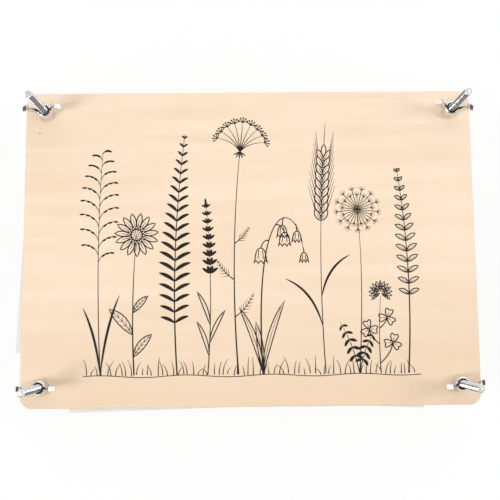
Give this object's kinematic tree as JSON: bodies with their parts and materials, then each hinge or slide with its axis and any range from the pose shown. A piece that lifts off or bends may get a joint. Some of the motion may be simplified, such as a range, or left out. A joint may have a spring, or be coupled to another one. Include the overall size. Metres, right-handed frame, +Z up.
{
  "type": "flower press",
  "caption": "Flower press: two wooden boards drawn together by corner bolts and wing nuts, with corrugated cards and blotting sheets layered between them.",
  "frame": {"origin": "centre of the bottom board's underside, on which the press stands", "axes": "+X to the right along the boards' long edges, +Y to their rear edge, +Z up along the bolts"},
  "size_m": [0.3096, 0.2173, 0.0835],
  "materials": {
    "plywood": "matte",
    "plated_steel": "polished",
    "washer_steel": "satin",
    "kraft_card": "matte",
    "blotting_paper": "matte"
  },
  "bodies": {
    "base": {"bottom_board": "plywood", "bolt_rear_left": "plated_steel", "bolt_rear_right": "plated_steel", "bolt_front_left": "plated_steel", "bolt_front_right": "plated_steel"},
    "lid": {"top_board": "plywood", "washer_rear_left": "washer_steel", "washer_rear_right": "washer_steel", "washer_front_left": "washer_steel", "washer_front_right": "washer_steel"},
    "wing_nut_rear_left": {"wing_nut_rear_left": "plated_steel"},
    "wing_nut_rear_right": {"wing_nut_rear_right": "plated_steel"},
    "wing_nut_front_left": {"wing_nut_front_left": "plated_steel"},
    "wing_nut_front_right": {"wing_nut_front_right": "plated_steel"},
    "card_1": {"card_1": "kraft_card"},
    "blotter_1": {"blotter_1": "blotting_paper"},
    "blotter_2": {"blotter_2": "blotting_paper"},
    "card_2": {"card_2": "kraft_card"},
    "blotter_3": {"blotter_3": "blotting_paper"},
    "blotter_4": {"blotter_4": "blotting_paper"},
    "card_3": {"card_3": "kraft_card"},
    "blotter_5": {"blotter_5": "blotting_paper"},
    "blotter_6": {"blotter_6": "blotting_paper"},
    "card_4": {"card_4": "kraft_card"},
    "blotter_7": {"blotter_7": "blotting_paper"},
    "blotter_8": {"blotter_8": "blotting_paper"},
    "card_5": {"card_5": "kraft_card"},
    "blotter_9": {"blotter_9": "blotting_paper"},
    "blotter_10": {"blotter_10": "blotting_paper"},
    "card_6": {"card_6": "kraft_card"}
  },
  "joints": [
    {"name": "top_board_lift", "type": "slide", "parent": "base", "child": "lid", "axis": [0, 0, 1], "range_m": [0, 0.0328]},
    {"name": "wing_nut_front_right_spin", "type": "hinge", "parent": "lid", "child": "wing_nut_front_right", "pos_m": [0.136, -0.091, 0.04251], "axis": [0, 0, 1], "range_deg": [0, 14760]},
    {"name": "wing_nut_front_left_spin", "type": "hinge", "parent": "lid", "child": "wing_nut_front_left", "pos_m": [-0.136, -0.091, 0.04251], "axis": [0, 0, 1], "range_deg": [0, 14760]},
    {"name": "wing_nut_rear_left_spin", "type": "hinge", "parent": "lid", "child": "wing_nut_rear_left", "pos_m": [-0.136, 0.091, 0.04251], "axis": [0, 0, 1], "range_deg": [0, 14760]},
    {"name": "wing_nut_rear_right_spin", "type": "hinge", "parent": "lid", "child": "wing_nut_rear_right", "pos_m": [0.136, 0.091, 0.04251], "axis": [0, 0, 1], "range_deg": [0, 14760]},
    {"name": "card_1_lift", "type": "slide", "parent": "base", "child": "card_1", "axis": [0, 0, 1], "range_m": [0, 0.00193]},
    {"name": "blotter_1_lift", "type": "slide", "parent": "base", "child": "blotter_1", "axis": [0, 0, 1], "range_m": [0, 0.00386]},
    {"name": "blotter_2_lift", "type": "slide", "parent": "base", "child": "blotter_2", "axis": [0, 0, 1], "range_m": [0, 0.00579]},
    {"name": "card_2_lift", "type": "slide", "parent": "base", "child": "card_2", "axis": [0, 0, 1], "range_m": [0, 0.00772]},
    {"name": "blotter_3_lift", "type": "slide", "parent": "base", "child": "blotter_3", "axis": [0, 0, 1], "range_m": [0, 0.00965]},
    {"name": "blotter_4_lift", "type": "slide", "parent": "base", "child": "blotter_4", "axis": [0, 0, 1], "range_m": [0, 0.01158]},
    {"name": "card_3_lift", "type": "slide", "parent": "base", "child": "card_3", "axis": [0, 0, 1], "range_m": [0, 0.01351]},
    {"name": "blotter_5_lift", "type": "slide", "parent": "base", "child": "blotter_5", "axis": [0, 0, 1], "range_m": [0, 0.01544]},
    {"name": "blotter_6_lift", "type": "slide", "parent": "base", "child": "blotter_6", "axis": [0, 0, 1], "range_m": [0, 0.01736]},
    {"name": "card_4_lift", "type": "slide", "parent": "base", "child": "card_4", "axis": [0, 0, 1], "range_m": [0, 0.01929]},
    {"name": "blotter_7_lift", "type": "slide", "parent": "base", "child": "blotter_7", "axis": [0, 0, 1], "range_m": [0, 0.02122]},
    {"name": "blotter_8_lift", "type": "slide", "parent": "base", "child": "blotter_8", "axis": [0, 0, 1], "range_m": [0, 0.02315]},
    {"name": "card_5_lift", "type": "slide", "parent": "base", "child": "card_5", "axis": [0, 0, 1], "range_m": [0, 0.02508]},
    {"name": "blotter_9_lift", "type": "slide", "parent": "base", "child": "blotter_9", "axis": [0, 0, 1], "range_m": [0, 0.02701]},
    {"name": "blotter_10_lift", "type": "slide", "parent": "base", "child": "blotter_10", "axis": [0, 0, 1], "range_m": [0, 0.02894]},
    {"name": "card_6_lift", "type": "slide", "parent": "base", "child": "card_6", "axis": [0, 0, 1], "range_m": [0, 0.03087]}
  ],
  "couplings": [
    {"joint": "wing_nut_rear_left_spin", "follows": "top_board_lift", "rad_per_m": 7854},
    {"joint": "wing_nut_rear_right_spin", "follows": "top_board_lift", "rad_per_m": 7854},
    {"joint": "wing_nut_front_left_spin", "follows": "top_board_lift", "rad_per_m": 7854},
    {"joint": "wing_nut_front_right_spin", "follows": "top_board_lift", "rad_per_m": 7854},
    {"joint": "card_1_lift", "follows": "top_board_lift", "ratio": 0.058824},
    {"joint": "blotter_1_lift", "follows": "top_board_lift", "ratio": 0.11765},
    {"joint": "blotter_2_lift", "follows": "top_board_lift", "ratio": 0.17647},
    {"joint": "card_2_lift", "follows": "top_board_lift", "ratio": 0.23529},
    {"joint": "blotter_3_lift", "follows": "top_board_lift", "ratio": 0.29412},
    {"joint": "blotter_4_lift", "follows": "top_board_lift", "ratio": 0.35294},
    {"joint": "card_3_lift", "follows": "top_board_lift", "ratio": 0.41176},
    {"joint": "blotter_5_lift", "follows": "top_board_lift", "ratio": 0.47059},
    {"joint": "blotter_6_lift", "follows": "top_board_lift", "ratio": 0.52941},
    {"joint": "card_4_lift", "follows": "top_board_lift", "ratio": 0.58824},
    {"joint": "blotter_7_lift", "follows": "top_board_lift", "ratio": 0.64706},
    {"joint": "blotter_8_lift", "follows": "top_board_lift", "ratio": 0.70588},
    {"joint": "card_5_lift", "follows": "top_board_lift", "ratio": 0.76471},
    {"joint": "blotter_9_lift", "follows": "top_board_lift", "ratio": 0.82353},
    {"joint": "blotter_10_lift", "follows": "top_board_lift", "ratio": 0.88235},
    {"joint": "card_6_lift", "follows": "top_board_lift", "ratio": 0.94118}
  ]
}
